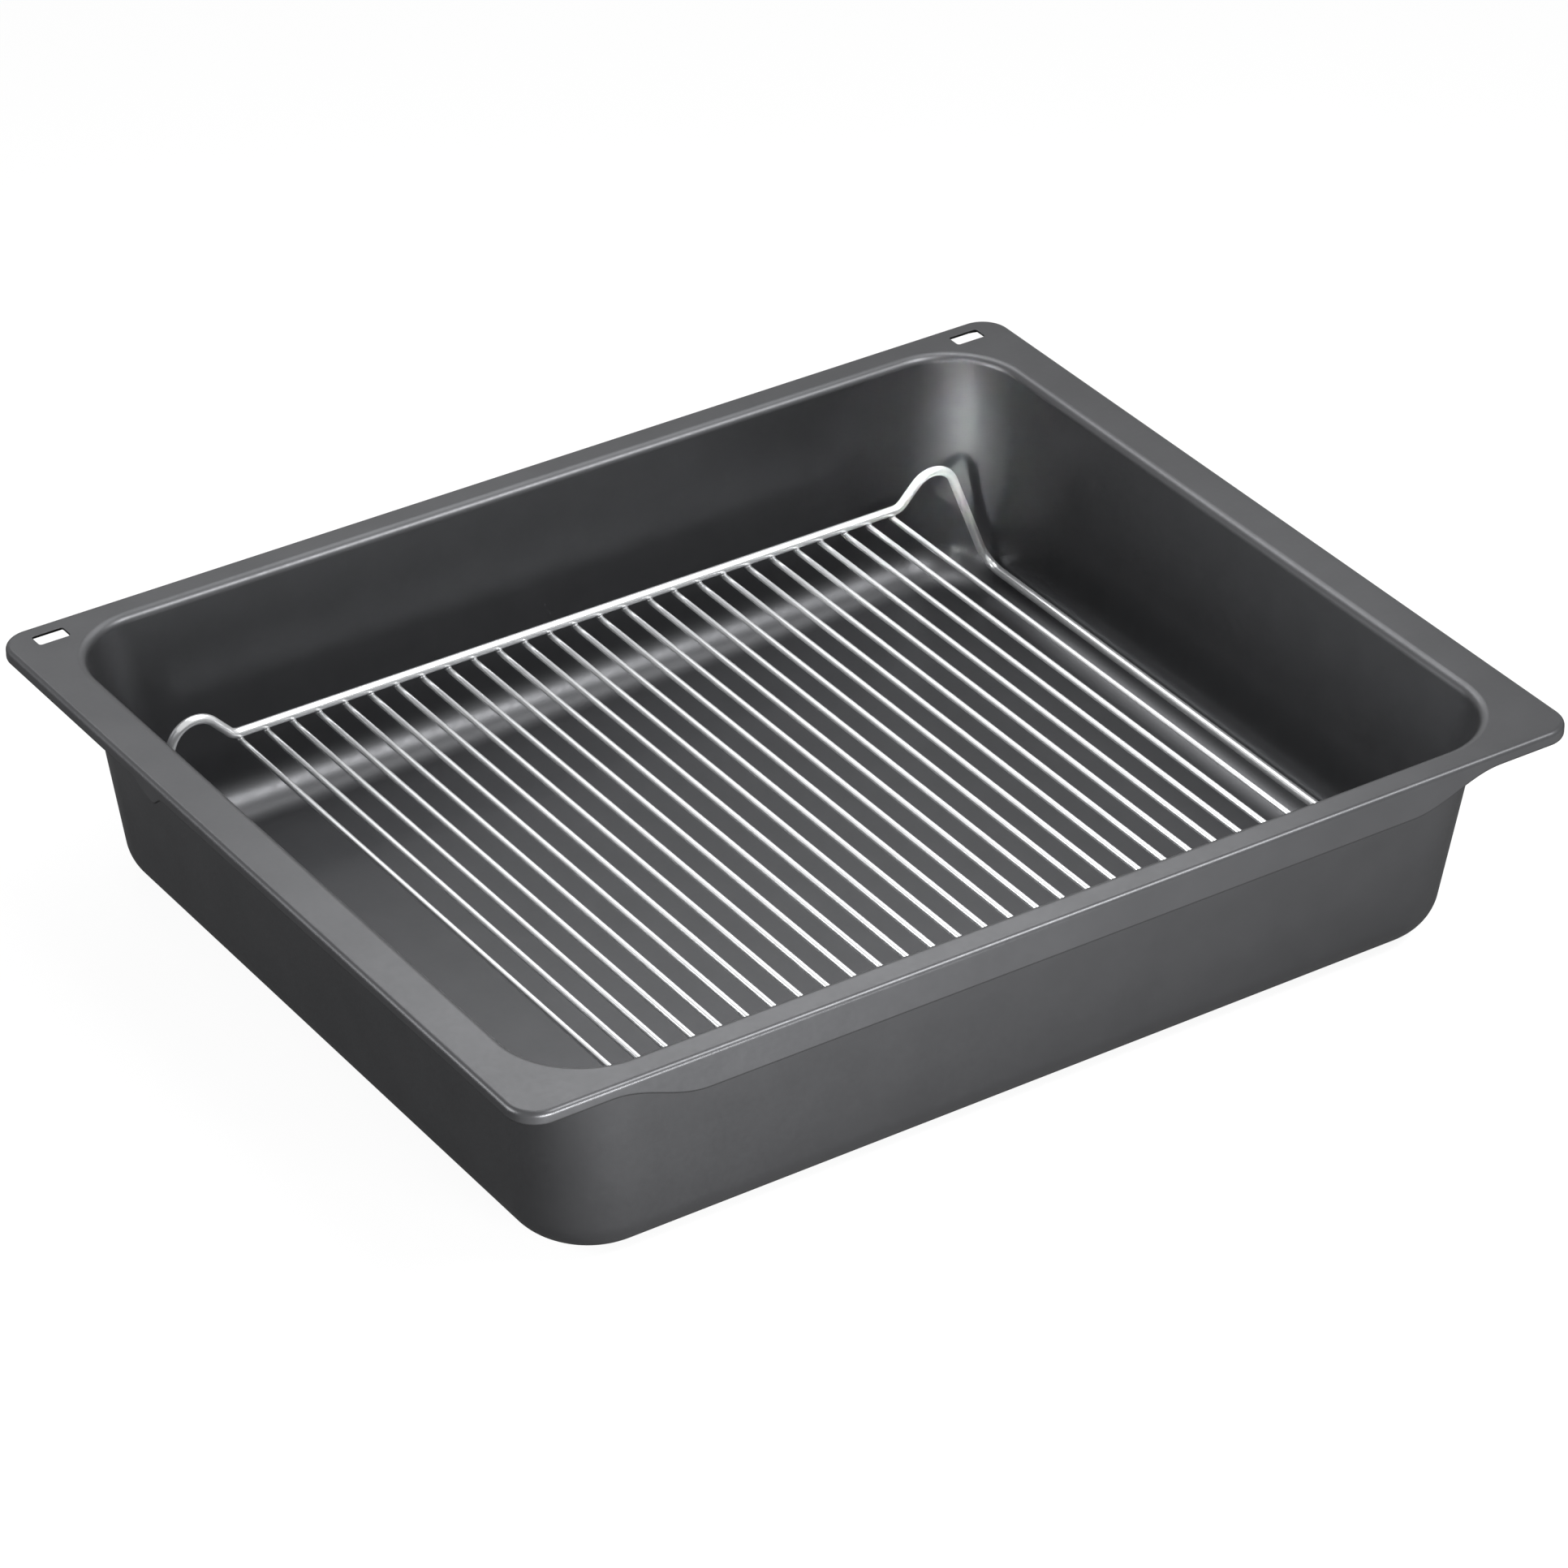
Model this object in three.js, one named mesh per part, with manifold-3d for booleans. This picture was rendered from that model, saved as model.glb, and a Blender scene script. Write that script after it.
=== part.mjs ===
import * as THREE from "three";
import { mergeVertices } from "three/addons/utils/BufferGeometryUtils.js";
import Module from "manifold-3d";

// Deep enamelled roasting pan with a lift-out wire rack, in millimetres.
// +Z is up, +X runs along the wide edge, and the grip lip at the front faces -Y.
// The origin is the middle of the pan's underside.

// Pan pressing
const PAN_WIDTH = 455; // over the flange, left to right
const PAN_DEPTH = 375; // over the flange, front to rear
const PAN_HEIGHT = 93.5; // underside of the floor to flange top
const SHEET = 1; // steel sheet with its enamel
const SIDE_FLANGE = 15.6; // outer edge to the rounding of the opening, left and right
const END_FLANGE = 9.4; // the same at the front and the rear
const SIDE_DRAFT = 5.9; // degrees that the left and right walls lean out
const END_DRAFT = 7.1; // degrees that the front and rear walls lean out
const FLOOR_RADIUS = 18.1; // outer rounding between floor and walls
const RIM_RADIUS = 4; // top rounding from the flange down into the bowl
const WALL_CORNER = 32.5; // plan radius of the bowl's outer corners
const FLANGE_CORNER = 12; // plan radius of the flange's outer corners

// Turned-down lip round the flange
const EDGE_RADIUS = 2; // top rounding from the flange over into the lip
const LIP_DROP = 5.3; // flange top to the lower edge of the lip
const GRIP_DROP = 15.2; // the same along the middle of the front
const SWEEP_INSET = 35.5; // side of the flange to the start of the deepening front lip
const SWEEP_LENGTH = 40; // length of the S-shaped run from shallow to deep
const STOP_DROP = 4.1; // how far the stop tooth reaches below the side lip
const STOP_INSET = 119.5; // rear edge of the flange to the tip of the stop tooth
const STOP_RAMP = 17; // slow rise behind the tip of the stop tooth
const STOP_HEEL = 7; // quick return in front of the tip

// Slots punched through the rear corners of the flange
const SLOT_LENGTH = 13;
const SLOT_WIDTH = 6.6;
const SLOT_CORNER = 1;
const SLOT_SIDE_INSET = 18.7; // side of the flange to the slot's middle
const SLOT_REAR_INSET = 10.2; // rear edge of the flange to the slot's middle

// Wire rack
const FRAME_DIAMETER = 4;
const ROD_DIAMETER = 2.5;
const ROD_COUNT = 27; // rods, evenly spaced between the two end rods
const ROD_OVERHANG = 1; // rod end past the middle of the front or back wire
const GRID_HEIGHT = 48.5; // underside of the pan to the middle of the front and back wires
const SEAT_ANGLE = 33.4; // degrees below level at which a side rail meets the rounded floor edge
const SEAT_GAP = 0.3; // side rail to the enamel it rests on
const WELD_GAP = 0.2; // wire to the wire that it is welded to
const LOOP_SPAN = 46.2; // end rod to side rail
const LOOP_OFFSET = 3; // end rod to the bend where a corner loop starts
const LOOP_REACH = 20; // that bend to the point of the loop before it is rounded
const LOOP_RISE = 20.8; // front or back wire to the point of the loop before it is rounded
const LOOP_RADIUS = 10.9; // middle of the wire over the top of a loop
const FOOT_RADIUS = 6.5; // bend from the front or back wire into a loop
const RAIL_BEND = 9.4; // bend from a side rail up into a loop's outer leg

// Fineness of the round stretches
const CORNER_STEPS = 8;
const FLOOR_STEPS = 6;
const RIM_STEPS = 4;
const EDGE_STEPS = 3;
const SWEEP_STEPS = 8;
const RAMP_STEPS = 4;
const HEEL_STEPS = 3;
const SLOT_STEPS = 3;
const WIRE_SIDES = 10;
const ROD_SIDES = 8;
const BEND_STEP = 18; // degrees of a wire bend per straight piece

const enamel = new THREE.MeshStandardMaterial({ color: 0x4a4c4f, roughness: 0.42, metalness: 0 });
const chrome = new THREE.MeshStandardMaterial({ color: 0xdfe3e6, roughness: 0.12, metalness: 1 });

const halfWidth = PAN_WIDTH / 2;
const halfDepth = PAN_DEPTH / 2;
const frameRadius = FRAME_DIAMETER / 2;
const rodRadius = ROD_DIAMETER / 2;
const radians = THREE.MathUtils.degToRad;

const wasm = await Module();
wasm.setup();

function solidOf(geometry) {
  const bare = new THREE.BufferGeometry();
  bare.setAttribute("position", geometry.getAttribute("position"));
  bare.setIndex(geometry.getIndex());
  const merged = mergeVertices(bare, 1e-4);
  const vertProperties = merged.getAttribute("position").array;
  const triVerts = new Uint32Array(merged.getIndex().array);
  return new wasm.Manifold(new wasm.Mesh({ numProp: 3, vertProperties, triVerts }));
}

function geometryOf(solid) {
  const mesh = solid.getMesh();
  const geometry = new THREE.BufferGeometry();
  geometry.setAttribute("position", new THREE.BufferAttribute(mesh.vertProperties, mesh.numProp));
  geometry.setIndex(new THREE.BufferAttribute(mesh.triVerts, 1));
  geometry.computeVertexNormals();
  return geometry;
}

// Half of the flat floor, found down from the flange through the rim, the leaning wall and the floor rounding.
function flatFloorHalf(half, flange, draft) {
  const rise = PAN_HEIGHT - RIM_RADIUS - FLOOR_RADIUS;
  const roundings = RIM_RADIUS - SHEET + FLOOR_RADIUS;
  return half - flange - (rise * Math.sin(draft) + roundings) / Math.cos(draft);
}

// One face of the sheet cut through a wall, from the floor out to the lip: distance out from the middle,
// height, and the plan radius that the corner has there. The inset is 0 on the outside of the bowl
// and one sheet on the inside.
function sheetProfile(half, flange, draft, inset) {
  const points = [];
  const floorHalf = flatFloorHalf(half, flange, draft);
  const floorRadius = FLOOR_RADIUS - inset;
  const rimRadius = RIM_RADIUS - SHEET + inset;
  const edgeRadius = EDGE_RADIUS - SHEET + inset;
  const wallCorner = WALL_CORNER - inset;
  const opening = half - flange;
  const wallFoot = floorHalf + floorRadius * Math.cos(draft);
  const wallTop = opening - rimRadius * Math.cos(draft);
  for (let i = 0; i <= FLOOR_STEPS; i++) {
    const turn = (i / FLOOR_STEPS) * (Math.PI / 2 - draft);
    const out = floorHalf + floorRadius * Math.sin(turn);
    const z = FLOOR_RADIUS - floorRadius * Math.cos(turn);
    points.push({ out, z, corner: wallCorner + out - wallFoot });
  }
  for (let i = 0; i <= RIM_STEPS; i++) {
    const turn = draft + (i / RIM_STEPS) * (Math.PI / 2 - draft);
    const out = opening - rimRadius * Math.cos(turn);
    const z = PAN_HEIGHT - RIM_RADIUS + rimRadius * Math.sin(turn);
    points.push({ out, z, corner: wallCorner + out - wallTop });
  }
  for (let i = 0; i <= EDGE_STEPS; i++) {
    const turn = (i / EDGE_STEPS) * (Math.PI / 2);
    const out = half - EDGE_RADIUS + edgeRadius * Math.sin(turn);
    const z = PAN_HEIGHT - EDGE_RADIUS + edgeRadius * Math.cos(turn);
    points.push({ out, z, corner: FLANGE_CORNER + out - half });
  }
  return points;
}

function easeCurve(share) {
  return (1 - Math.cos(Math.PI * THREE.MathUtils.clamp(share, 0, 1))) / 2;
}

// The front lip deepens along an S from each side towards the grip in the middle.
const sweepStart = halfWidth - SWEEP_INSET;
function frontDrop(x) {
  const share = (sweepStart - Math.abs(x)) / SWEEP_LENGTH;
  return LIP_DROP + (GRIP_DROP - LIP_DROP) * easeCurve(share);
}

// The stop tooth in a side lip rises slowly behind its tip and ends in a short heel.
const stopTip = halfDepth - STOP_INSET;
function sideDrop(y) {
  const run = y > stopTip ? STOP_RAMP : STOP_HEEL;
  const share = 1 - Math.abs(y - stopTip) / run;
  return LIP_DROP + STOP_DROP * easeCurve(share);
}

// The places round the pan, counter-clockwise from the front edge. A place lies at a share (fx, fy) of the
// straight edges and is moved out by the corner radius along (ux, uy).
function placesAround() {
  const straightX = halfWidth - FLANGE_CORNER;
  const straightY = halfDepth - FLANGE_CORNER;
  const sweep = [];
  for (let i = 0; i <= SWEEP_STEPS; i++) {
    sweep.push(sweepStart - (i / SWEEP_STEPS) * SWEEP_LENGTH);
  }
  const stop = [];
  for (let i = 0; i < HEEL_STEPS; i++) {
    stop.push(stopTip - STOP_HEEL + (i / HEEL_STEPS) * STOP_HEEL);
  }
  for (let i = 0; i <= RAMP_STEPS; i++) {
    stop.push(stopTip + (i / RAMP_STEPS) * STOP_RAMP);
  }
  const places = [];
  const addCorner = (fx, fy, start) => {
    for (let i = 0; i <= CORNER_STEPS; i++) {
      const turn = start + (i / CORNER_STEPS) * (Math.PI / 2);
      places.push({ fx, fy, ux: Math.cos(turn), uy: Math.sin(turn), drop: LIP_DROP });
    }
  };
  const addFront = (x) => places.push({ fx: x / straightX, fy: -1, ux: 0, uy: -1, drop: frontDrop(x) });
  const addSide = (side, y) => places.push({ fx: side, fy: y / straightY, ux: side, uy: 0, drop: sideDrop(y) });
  sweep.forEach((x) => addFront(-x));
  sweep.toReversed().forEach((x) => addFront(x));
  addCorner(1, -1, -Math.PI / 2);
  stop.forEach((y) => addSide(1, y));
  addCorner(1, 1, 0);
  addCorner(-1, 1, Math.PI / 2);
  stop.toReversed().forEach((y) => addSide(-1, y));
  addCorner(-1, -1, Math.PI);
  return places;
}

// One face of the sheet as rings from the floor out to the lower edge of the lip.
function sheetRings(places, inset) {
  const sides = sheetProfile(halfWidth, SIDE_FLANGE, radians(SIDE_DRAFT), inset);
  const ends = sheetProfile(halfDepth, END_FLANGE, radians(END_DRAFT), inset);
  const rings = sides.map((side, i) =>
    places.map(({ fx, fy, ux, uy }) => {
      const end = ends[i];
      const x = fx * (side.out - side.corner) + ux * side.corner;
      const y = fy * (end.out - end.corner) + uy * end.corner;
      return new THREE.Vector3(x, y, side.z * ux * ux + end.z * uy * uy);
    }),
  );
  const lastRing = rings.at(-1);
  rings.push(lastRing.map((point, i) => point.clone().setZ(PAN_HEIGHT - places[i].drop)));
  return rings;
}

// A closed skin through rings that all have the same number of points, with a flat middle at both ends.
function loft(rings) {
  const count = rings[0].length;
  const firstMiddle = rings.length * count;
  const lastMiddle = firstMiddle + 1;
  const lastStart = firstMiddle - count;
  const points = rings.flat();
  points.push(new THREE.Vector3(0, 0, rings[0][0].z), new THREE.Vector3(0, 0, rings.at(-1)[0].z));
  const faces = [];
  for (let j = 0; j < count; j++) {
    const next = (j + 1) % count;
    faces.push(firstMiddle, next, j);
    for (let start = 0; start < lastStart; start += count) {
      const a = start + j;
      const b = start + next;
      faces.push(a, b, b + count, a, b + count, a + count);
    }
    faces.push(lastMiddle, lastStart + j, lastStart + next);
  }
  return new THREE.BufferGeometry().setFromPoints(points).setIndex(faces);
}

function slotCutter(x, y) {
  const outline = new THREE.Shape();
  const dx = SLOT_LENGTH / 2 - SLOT_CORNER;
  const dy = SLOT_WIDTH / 2 - SLOT_CORNER;
  outline.absarc(dx, dy, SLOT_CORNER, 0, Math.PI / 2);
  outline.absarc(-dx, dy, SLOT_CORNER, Math.PI / 2, Math.PI);
  outline.absarc(-dx, -dy, SLOT_CORNER, Math.PI, 1.5 * Math.PI);
  outline.absarc(dx, -dy, SLOT_CORNER, 1.5 * Math.PI, 2 * Math.PI);
  const depth = 3 * SHEET;
  const cutter = new THREE.ExtrudeGeometry(outline, { depth, bevelEnabled: false, curveSegments: SLOT_STEPS });
  cutter.translate(x, y, PAN_HEIGHT - 2 * SHEET);
  return solidOf(cutter);
}

function makePan() {
  const places = placesAround();
  const outside = sheetRings(places, 0);
  const inside = sheetRings(places, SHEET).toReversed();
  let shell = solidOf(loft([...outside, ...inside]));
  for (const side of [-1, 1]) {
    const x = side * (halfWidth - SLOT_SIDE_INSET);
    shell = shell.subtract(slotCutter(x, halfDepth - SLOT_REAR_INSET));
  }
  const pan = new THREE.Mesh(geometryOf(shell), enamel);
  pan.name = "pan";
  return pan;
}

// Where the rack lies: the rails rest on the rounded floor edge along the straight stretch of the side walls.
const seatRadius = FLOOR_RADIUS - SHEET - frameRadius - SEAT_GAP;
const sideFloor = flatFloorHalf(halfWidth, SIDE_FLANGE, radians(SIDE_DRAFT));
const endFloor = flatFloorHalf(halfDepth, END_FLANGE, radians(END_DRAFT));
const railX = sideFloor + seatRadius * Math.cos(radians(SEAT_ANGLE));
const railZ = FLOOR_RADIUS - seatRadius * Math.sin(radians(SEAT_ANGLE));
const railHalf = endFloor + FLOOR_RADIUS * Math.cos(radians(END_DRAFT)) - WALL_CORNER;
const wireY = railHalf + RAIL_BEND;
const endRodX = railX - LOOP_SPAN;

// A wire through round bends, from the start of the first bend to the end of the last one.
// It has stations only where a bend starts, turns and ends.
class BentWire extends THREE.Curve {
  constructor(from, bends, to) {
    super();
    this.points = [];
    this.tangents = [];
    const stops = [from, ...bends.map((bend) => bend.at), to];
    bends.forEach(({ at, radius }, i) => {
      const incoming = at.clone().sub(stops[i]).normalize();
      const outgoing = stops[i + 2].clone().sub(at).normalize();
      this.addBend(at, incoming, outgoing, radius);
    });
  }

  addBend(at, incoming, outgoing, radius) {
    const turn = incoming.angleTo(outgoing);
    const start = at.clone().addScaledVector(incoming, -radius * Math.tan(turn / 2));
    const axis = incoming.clone().cross(outgoing).normalize();
    const toStart = incoming.clone().cross(axis).multiplyScalar(radius);
    const centre = start.clone().sub(toStart);
    const steps = Math.ceil(turn / radians(BEND_STEP));
    for (let i = 0; i <= steps; i++) {
      const angle = (i / steps) * turn;
      this.points.push(toStart.clone().applyAxisAngle(axis, angle).add(centre));
      this.tangents.push(incoming.clone().applyAxisAngle(axis, angle));
    }
  }

  stationAt(u) {
    return Math.round(u * (this.points.length - 1));
  }

  getPointAt(u, target = new THREE.Vector3()) {
    return target.copy(this.points[this.stationAt(u)]);
  }

  getTangentAt(u, target = new THREE.Vector3()) {
    return target.copy(this.tangents[this.stationAt(u)]);
  }
}

// The bends of one corner of the frame, from the front or rear wire over the loop to the side rail.
function cornerPath(side, end) {
  const footX = endRodX + LOOP_OFFSET;
  const wireMiddle = new THREE.Vector3(0, end * wireY, GRID_HEIGHT);
  const railMiddle = new THREE.Vector3(side * railX, 0, railZ);
  const bends = [
    { at: new THREE.Vector3(side * footX, end * wireY, GRID_HEIGHT), radius: FOOT_RADIUS },
    {
      at: new THREE.Vector3(side * (footX + LOOP_REACH), end * wireY, GRID_HEIGHT + LOOP_RISE),
      radius: LOOP_RADIUS,
    },
    { at: new THREE.Vector3(side * railX, end * wireY, railZ), radius: RAIL_BEND },
  ];
  return new BentWire(wireMiddle, bends, railMiddle);
}

function bentLength(name, path) {
  const section = [];
  for (let i = 0; i < WIRE_SIDES; i++) {
    const turn = (i / WIRE_SIDES) * 2 * Math.PI;
    section.push(new THREE.Vector2(frameRadius * Math.cos(turn), frameRadius * Math.sin(turn)));
  }
  const steps = path.points.length - 1;
  const round = new THREE.Shape(section);
  const bent = new THREE.ExtrudeGeometry(round, { steps, extrudePath: path, bevelEnabled: false });
  const mesh = new THREE.Mesh(bent, chrome);
  mesh.name = name;
  return mesh;
}

// A straight length between two bent ones, short by the weld at both ends.
function straightLength(name, from, to) {
  const run = to.clone().sub(from);
  const length = run.length() - 2 * WELD_GAP;
  const mesh = new THREE.Mesh(new THREE.CylinderGeometry(frameRadius, frameRadius, length, WIRE_SIDES), chrome);
  mesh.position.copy(from).addScaledVector(run, 0.5);
  mesh.quaternion.setFromUnitVectors(new THREE.Vector3(0, 1, 0), run.normalize());
  mesh.name = name;
  return mesh;
}

// The frame wire in its lengths: a bent one at each corner, and the straight wires and rails between them.
function makeFrame() {
  const frontLeft = cornerPath(-1, -1);
  const frontRight = cornerPath(1, -1);
  const rearLeft = cornerPath(-1, 1);
  const rearRight = cornerPath(1, 1);
  return [
    bentLength("loop_front_left", frontLeft),
    bentLength("loop_front_right", frontRight),
    bentLength("loop_rear_left", rearLeft),
    bentLength("loop_rear_right", rearRight),
    straightLength("front_wire", frontLeft.points[0], frontRight.points[0]),
    straightLength("rear_wire", rearLeft.points[0], rearRight.points[0]),
    straightLength("left_rail", frontLeft.points.at(-1), rearLeft.points.at(-1)),
    straightLength("right_rail", frontRight.points.at(-1), rearRight.points.at(-1)),
  ];
}

function makeRods() {
  const spacing = (2 * endRodX) / (ROD_COUNT - 1);
  const length = 2 * (wireY + ROD_OVERHANG);
  const z = GRID_HEIGHT - frameRadius - rodRadius - WELD_GAP;
  const rods = [];
  for (let i = 0; i < ROD_COUNT; i++) {
    const rod = new THREE.Mesh(new THREE.CylinderGeometry(rodRadius, rodRadius, length, ROD_SIDES), chrome);
    rod.position.set(i * spacing - endRodX, 0, z);
    rod.name = `rod_${String(i + 1).padStart(2, "0")}`;
    rods.push(rod);
  }
  return rods;
}

const rack = new THREE.Group();
rack.add(...makeFrame(), ...makeRods());

const roastingPan = new THREE.Group();
roastingPan.add(makePan(), rack);

export default roastingPan;
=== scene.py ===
"""Looks of a roasting pan with a lift-out wire rack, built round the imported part.

The pan is one pressing of enamelled sheet steel. The rack is a bent frame wire with straight rods welded
under it. All sizes are in metres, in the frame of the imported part: +Z is up, and the grip lip at the front
faces -Y.
"""

import math
from collections import namedtuple

import bmesh
import bpy
from bpy.props import FloatProperty, FloatVectorProperty, IntProperty, PointerProperty
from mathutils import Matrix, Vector


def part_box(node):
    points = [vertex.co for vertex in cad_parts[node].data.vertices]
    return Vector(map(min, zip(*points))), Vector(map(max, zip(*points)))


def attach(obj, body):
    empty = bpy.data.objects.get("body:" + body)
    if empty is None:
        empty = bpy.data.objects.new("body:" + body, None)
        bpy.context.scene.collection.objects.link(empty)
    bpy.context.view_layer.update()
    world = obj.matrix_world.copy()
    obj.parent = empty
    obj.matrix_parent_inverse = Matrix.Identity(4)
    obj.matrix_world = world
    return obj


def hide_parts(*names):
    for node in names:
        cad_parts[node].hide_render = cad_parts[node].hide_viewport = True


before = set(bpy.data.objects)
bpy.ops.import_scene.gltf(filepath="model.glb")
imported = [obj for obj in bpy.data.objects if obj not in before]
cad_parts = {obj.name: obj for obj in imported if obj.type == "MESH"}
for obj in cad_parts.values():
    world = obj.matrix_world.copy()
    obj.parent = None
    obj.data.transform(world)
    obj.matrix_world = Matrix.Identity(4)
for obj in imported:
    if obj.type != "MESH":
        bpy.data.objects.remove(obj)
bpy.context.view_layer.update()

bl_info = {
    "name": "Roasting pan with rack",
    "version": (1, 0, 0),
    "blender": (4, 5, 0),
    "location": "3D View > Sidebar > Roasting pan",
    "description": "Builds an enamelled roasting pan with its wire rack",
    "category": "Add Mesh",
}

# Attribute that marks where shade is painted: under the lip's lower edge and on the slots' cut faces
EDGE_SHADE_MARK = "painted_edge_shade"
BEND_RADIUS = "bend_radius"
ROW_TREE = "Even row"

# Points that the lamps are aimed at: in the pan, at two of its corners and before its front left
PAN_MIDDLE = (0.0, 0.0, 0.05)
REAR_RIGHT_CORNER = (0.185, 0.150, 0.060)
FRONT_LEFT_CORNER = (-0.200, -0.180, 0.060)
BEFORE_FRONT_LEFT = (-0.160, -0.270, 0.090)

# Lamps: what they are aimed at, azimuth and elevation in degrees, distance, width and height in metres,
# spread in degrees, and strength
Lamp = namedtuple("Lamp", "name target azimuth elevation distance width height spread strength")
LAMPS = (
    Lamp("Overhead lamp", PAN_MIDDLE, 150, 82, 1.3, 0.30, 0.30, 180, 0.10),
    Lamp("Front right lamp", PAN_MIDDLE, 38, 50, 1.3, 0.40, 0.40, 180, 0.78),
    Lamp("Rear right lamp", BEFORE_FRONT_LEFT, 146, 33, 0.75, 0.45, 0.30, 180, 0.23),
    Lamp("Rear lamp", PAN_MIDDLE, 178, 45, 1.3, 0.40, 0.40, 180, 0.09),
    Lamp("Left lamp", PAN_MIDDLE, 255, 16, 1.1, 0.60, 0.50, 180, 0.64),
    Lamp("Low front lamp", FRONT_LEFT_CORNER, 4, 2, 0.46, 0.40, 0.09, 180, 2.40),
    Lamp("Corner lamp", REAR_RIGHT_CORNER, 305, 17, 1.1, 0.03, 0.05, 5, 0.0030),
)

# Fineness of the round stretches
CORNER_STEPS = 24
FLOOR_STEPS = 16
WALL_STEPS = 5
RIM_STEPS = 10
EDGE_STEPS = 8
HEM_STEPS = 8
SWEEP_STEPS = 28
RAMP_STEPS = 12
HEEL_STEPS = 8
STRAIGHT_STEPS = 8
SLOT_CORNER_STEPS = 6
SLOT_ROLL_STEPS = 4
WIRE_SIDES = 24
BEND_STEPS = 16
ROD_SIDES = 20
ROD_END_STEPS = 3
BEAD_SIDES = 14
BEAD_STEPS = 6

# Turn of the rounded end of a rod, in radians from its cut face
ROD_END_TURN = (0.5, 1.5)

# Weld beads: how deep they start in the rod and end in the wire, as shares of their radii, and how far they
# narrow between, as a share of their own reach
BEAD_IN_ROD = 0.45
BEAD_IN_WIRE = 0.75
BEAD_WAIST = 1.3

# Cut face of a slot that gets painted shade, as shares of the sheet below its top
CUT_TOP = 0.1
CUT_BOTTOM = 0.9

# Patterns of the finishes: features per metre, and the depth of their bumps in metres
Pattern = namedtuple("Pattern", "scale depth")
ENAMEL_CLOUD = 45.0
ENAMEL_WAVES = Pattern(22.0, 0.00002)
ENAMEL_PEEL = Pattern(420.0, 0.00001)
ENAMEL_GRAIN = Pattern(1500.0, 0.000006)
CHROME_CLOUD = 120.0
CHROME_DRAW = Pattern(900.0, 0.000001)

# Levels of finer noise within a noise, for the clouds of tone and for the bumps
CLOUD_DETAIL = 3.0
BUMP_DETAIL = 2.0

# Darkest and lightest tone as shares of the middle colour, and how far the roughness strays from its middle
ENAMEL_TONES = (0.95, 1.05)
ENAMEL_STRAY = 0.03
CHROME_TONES = (0.96, 1.03)
CHROME_STRAY = 0.02

# Noise values that give the ends of a range of roughness, and of tones
ROUGHNESS_ENDS = (0.25, 0.75)
TONE_ENDS = (0.3, 0.7)


def middle(node):
    """Middle of a node's box at rest."""
    low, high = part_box(node)
    return (low + high) / 2


pan_low, pan_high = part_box("pan")
rod_nodes = sorted(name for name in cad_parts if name.startswith("rod_"))
wire_nodes = sorted(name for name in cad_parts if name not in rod_nodes and name != "pan")
front_wire = middle("front_wire")
right_rail = middle("right_rail")
last_rod = middle(rod_nodes[-1])
rod_low, rod_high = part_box(rod_nodes[-1])


def length(name, description, default):
    """A length that a user may change."""
    return FloatProperty(
        name=name,
        description=description,
        default=default,
        min=0.0,
        precision=5,
        subtype="DISTANCE",
        unit="LENGTH",
    )


def angle(name, description, degrees):
    """An angle that a user may change."""
    return FloatProperty(
        name=name, description=description, default=math.radians(degrees), subtype="ANGLE", unit="ROTATION"
    )


def share(name, description, default):
    """A share from 0 to 1 that a user may change."""
    return FloatProperty(
        name=name, description=description, default=default, min=0.0, max=1.0, precision=3, subtype="FACTOR"
    )


def colour(name, description, default):
    """A colour that a user may change."""
    return FloatVectorProperty(
        name=name, description=description, default=default, min=0.0, max=1.0, size=3, subtype="COLOR"
    )


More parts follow.
